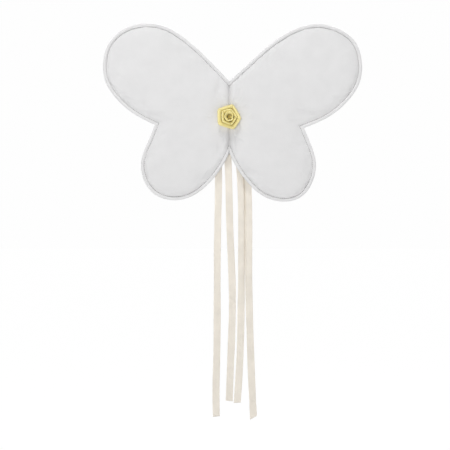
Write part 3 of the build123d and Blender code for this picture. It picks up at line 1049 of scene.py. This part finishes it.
def route_points(name):
    """The smooth middle line of a tie: points read from a NURBS curve with its route's points."""
    route = TIE_ROUTES[name]
    curve = bpy.data.curves.new(name + "_route", "CURVE")
    curve.dimensions = "3D"
    spline = curve.splines.new("NURBS")
    spline.points.add(len(route) - 1)
    for point, place in zip(spline.points, route):
        point.co = (*place, 1.0)
    spline.order_u = 3
    spline.use_endpoint_u = True
    spline.resolution_u = 24
    carrier = bpy.data.objects.new(name + "_route", curve)
    bpy.context.scene.collection.objects.link(carrier)
    bpy.context.view_layer.update()
    mesh = bpy.data.meshes.new_from_object(carrier)
    points = np.zeros(len(mesh.vertices) * 3)
    mesh.vertices.foreach_get("co", points)
    bpy.data.objects.remove(carrier)
    bpy.data.meshes.remove(mesh)
    return evenly(points.reshape(-1, 3), 0.0022)


# Phase of a tie's creases, its lean (radians), place and turn of a twist, slant of its end (m),
# how far its left and right edges curl back (m) along its upper half, and how far it has slid
# across and back (m) there.
TIE_LOOKS = {
    "outer_left": (0.3, 0.16, 0.62, 0.12, -0.0004, (0.0018, 0.0002), (0.0, 0.0)),
    "inner_left": (1.7, -0.16, 0.64, 0.42, 0.0006, (0.0002, 0.0004), (0.0, 0.0)),
    "inner_right": (2.9, 0.06, 0.80, 0.12, -0.0008, (0.0002, 0.0045), (0.0005, 0.0003)),
    "outer_right": (4.1, -0.06, 0.94, 0.26, -0.0032, (0.0040, 0.0003), (-0.0005, -0.0004)),
}


def ribbon(line, name):
    """A flat tape carried along a line.

    Its section is a rounded oblong with slightly thicker selvedges. The section leans a little
    to and fro along the length, turns further at one crease and is cut off at a slant."""
    tie = settings("tie")
    phase, lean, twist_at, twist, slant, curl, slide = TIE_LOOKS[name]
    tangent = np.gradient(line, axis=0)
    tangent /= np.linalg.norm(tangent, axis=1)[:, None]
    share = np.linspace(0.0, 1.0, len(line))
    free = smoothstep(0.26, 0.36, share)
    angle = free * (lean * np.sin(9.0 * share + phase) + 0.05 * np.sin(31.0 * share + phase)
                    + twist * np.exp(-(((share - twist_at) / 0.020) ** 2)))
    square = (1 - smoothstep(0.0, 0.05, share))[:, None]
    facing = tangent * (1 - square) + square * [0.0, 0.0, -1.0]
    across = np.cross(facing, [0.0, 1.0, 0.0])
    across /= np.linalg.norm(across, axis=1)[:, None]
    outward = np.cross(across, facing)
    outward /= np.linalg.norm(outward, axis=1)[:, None]
    wide = np.cos(angle)[:, None] * across + np.sin(angle)[:, None] * outward
    thick = -np.sin(angle)[:, None] * across + np.cos(angle)[:, None] * outward

    half = tie.width / 2
    u = np.array([-1.0, -0.985, -0.93, -0.80, -0.6, -0.3, 0.0, 0.3, 0.6, 0.80, 0.93, 0.985, 1.0])
    height = np.sqrt(np.clip(1 - np.abs(u) ** 18, 0, 1)) * (0.86 + 0.16 * np.abs(u) ** 4)
    top = np.stack([u * half, height * tie.thickness / 2], axis=1)
    bottom = top[::-1][1:-1] * [1, -1]
    section = np.concatenate([top, bottom])
    place = section[None, :, 0] / half
    crease = 0.00040 * np.sin(46 * share + phase)[:, None] * np.sin(place * 2.2 + 5 * share[:, None])
    crease += 0.00016 * np.sin(210 * share + 3 * phase)[:, None] * np.sin(place * 3.1 + 17 * share[:, None])
    crease += 0.0038 * twist * np.exp(-(((share[:, None] - twist_at - 0.012 * place) / 0.005) ** 2))
    upper = (smoothstep(0.08, 0.18, share) * (1 - smoothstep(0.52, 0.68, share)))[:, None]
    left = curl[0] * np.clip((-place - 0.5) / 0.5, 0, None) ** 1.6
    right = curl[1] * np.clip((place - 0.5) / 0.5, 0, None) ** 1.6
    crease = free[:, None] * crease + upper * (left + right + slide[1])
    narrow = 1 - 0.03 * np.sin(14 * share + phase) ** 2
    points = (line[:, None, :] + (section[None, :, 0] * narrow[:, None])[..., None] * wide[:, None, :]
              + (section[None, :, 1] + crease)[..., None] * thick[:, None, :])
    points[..., 0] += upper * slide[0]
    near_end = smoothstep(0.97, 1.0, share)[:, None, None]
    points += near_end * slant * (section[None, :, 0] / half)[..., None] * tangent[:, None, :]
    return points


class FAIRY_OT_ties(bpy.types.Operator):
    """The four long cotton ties that hang from the patch"""

    bl_idname = "fairy_wings.ties"
    bl_label = "Cotton ties"

    def execute(self, context):
        tie = settings("tie")
        for name in TIE_NAMES:
            line = route_points(name)
            points = ribbon(line, name)
            rows, columns = points.shape[:2]
            closed = np.concatenate([points, points[:, :1]], axis=1)
            faces = grid_faces(rows, columns + 1)
            half = columns // 2
            caps, flat_points = [], closed.reshape(-1, 3)
            for row, flip in ((0, False), (rows - 1, True)):
                first = row * (columns + 1)
                top = first + np.arange(half + 1)
                low = first + columns - np.arange(half + 1)
                cap = np.stack([top[:-1], top[1:], low[1:], low[:-1]], axis=1)
                caps.append(cap[:, ::-1] if flip else cap)
            mesh = mesh_from(name + "_cotton_tape", flat_points, np.concatenate([faces, *caps]))
            close_mesh(mesh)
            piece = new_object(name + "_cotton_tape", mesh)
            piece.data.materials.append(tape_material())
            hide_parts(name + "_tie")
            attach(piece, name + "_tie_strip")
        return {"FINISHED"}


# ---- stage ----------------------------------------------------------------------------------

# Name, place (m), size (m) and power (W) of each soft lamp; all face the object's origin.
LAMPS = (
    ("key_light", (-0.45, -2.2, 0.10), 0.8, 15.2),
    ("top_light", (-0.20, -1.05, 2.6), 0.6, 45.0),
    ("back_light", (0.8, 1.6, 0.9), 1.4, 8.0),
)
SENSOR_WIDTH = 36.0
FLOOR_HALF = 30.0


class FAIRY_OT_stage(bpy.types.Operator):
    """Camera, pale floor and soft light"""

    bl_idname = "fairy_wings.stage"
    bl_label = "Stage"

    def execute(self, context):
        stage = settings("stage")
        scene = context.scene
        camera_data = bpy.data.cameras.new("front_camera")
        camera = bpy.data.objects.new("front_camera", camera_data)
        scene.collection.objects.link(camera)
        camera.location = (stage.view_x, -stage.camera_distance, stage.view_z)
        camera.rotation_euler = (math.pi / 2, 0.0, 0.0)
        camera_data.sensor_width = SENSOR_WIDTH
        camera_data.lens = SENSOR_WIDTH * stage.camera_distance / stage.view_width
        scene.camera = camera

        pale, _, _ = new_material("pale_floor", {
            "Base Color": (0.02, 0.02, 0.02, 1.0), "Roughness": 1.0, "Specular IOR Level": 0.0,
            "Emission Color": (1.0, 1.0, 1.0, 1.0), "Emission Strength": 0.985})
        half = FLOOR_HALF
        corners = [(-half, -half, stage.floor_z), (half, -half, stage.floor_z),
                   (half, half, stage.floor_z), (-half, half, stage.floor_z)]
        floor = new_object("floor", mesh_from("floor", corners, [[0, 1, 2, 3]]))
        floor.data.materials.append(pale)

        world = bpy.data.worlds.new("soft_white")
        world.use_nodes = True
        scene.world = world
        tree = world.node_tree
        seen = tree.nodes["Background"]
        feed(tree, seen, {"Color": (1.0, 1.0, 1.0, 1.0), "Strength": 0.991})
        around = add_node(tree, "TexCoord", {}).outputs["Generated"]
        split = add_node(tree, "SeparateXYZ", {"Vector": around})
        glow = add_node(tree, "MapRange", {
            "Value": split.outputs["Y"], "From Min": -0.15, "From Max": 0.35,
            "To Min": stage.front_light, "To Max": stage.backdrop_light},
            interpolation_type="SMOOTHSTEP")
        lit = add_node(tree, "Background", {
            "Color": (0.985, 0.985, 0.99, 1.0), "Strength": glow.outputs["Result"]})
        path = add_node(tree, "LightPath", {})
        mix = add_node(tree, "MixShader", {
            "Fac": path.outputs["Is Camera Ray"], 1: lit.outputs["Background"],
            2: seen.outputs["Background"]})
        feed(tree, tree.nodes["World Output"], {"Surface": mix.outputs["Shader"]})

        for name, place, size, power in LAMPS:
            data = bpy.data.lights.new(name, "AREA")
            data.size = size
            data.energy = power
            light = bpy.data.objects.new(name, data)
            scene.collection.objects.link(light)
            light.location = place
            toward = -light.location
            light.rotation_euler = toward.to_track_quat("-Z", "Y").to_euler()
        scene.view_settings.view_transform = "Standard"
        return {"FINISHED"}


class FAIRY_PT_panel(bpy.types.Panel):
    """Lists the steps and the settings in the sidebar"""

    bl_idname = "FAIRY_PT_panel"
    bl_label = "Fairy Wings"
    bl_space_type = "VIEW_3D"
    bl_region_type = "UI"
    bl_category = "Fairy Wings"

    def draw(self, context):
        for operator in OPERATORS:
            self.layout.operator(operator.bl_idname)
        for group in GROUPS:
            box = self.layout.box()
            box.label(text=group.title())
            for prop in GROUPS[group].__annotations__:
                box.prop(settings(group), prop)


GROUPS = {"wing": WingSettings, "rose": RoseSettings, "tie": TieSettings, "stage": StageSettings}
OPERATORS = (FAIRY_OT_stage, FAIRY_OT_ties, FAIRY_OT_covers, FAIRY_OT_wadding,
             FAIRY_OT_stitching, FAIRY_OT_rose, FAIRY_OT_patch)


def register():
    """Registers the settings, the operators and the panel."""
    for group, kind in GROUPS.items():
        bpy.utils.register_class(kind)
        setattr(bpy.types.Scene, PREFIX + "_" + group, bpy.props.PointerProperty(type=kind))
    for operator in OPERATORS:
        bpy.utils.register_class(operator)
    bpy.utils.register_class(FAIRY_PT_panel)


def unregister():
    """Removes them again."""
    bpy.utils.unregister_class(FAIRY_PT_panel)
    for operator in reversed(OPERATORS):
        bpy.utils.unregister_class(operator)
    for group, kind in GROUPS.items():
        delattr(bpy.types.Scene, PREFIX + "_" + group)
        bpy.utils.unregister_class(kind)


def main():
    """Makes every piece in order."""
    register()
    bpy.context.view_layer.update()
    for operator in OPERATORS:
        category, name = operator.bl_idname.split(".")
        getattr(getattr(bpy.ops, category), name)()


if __name__ == "__main__":
    main()
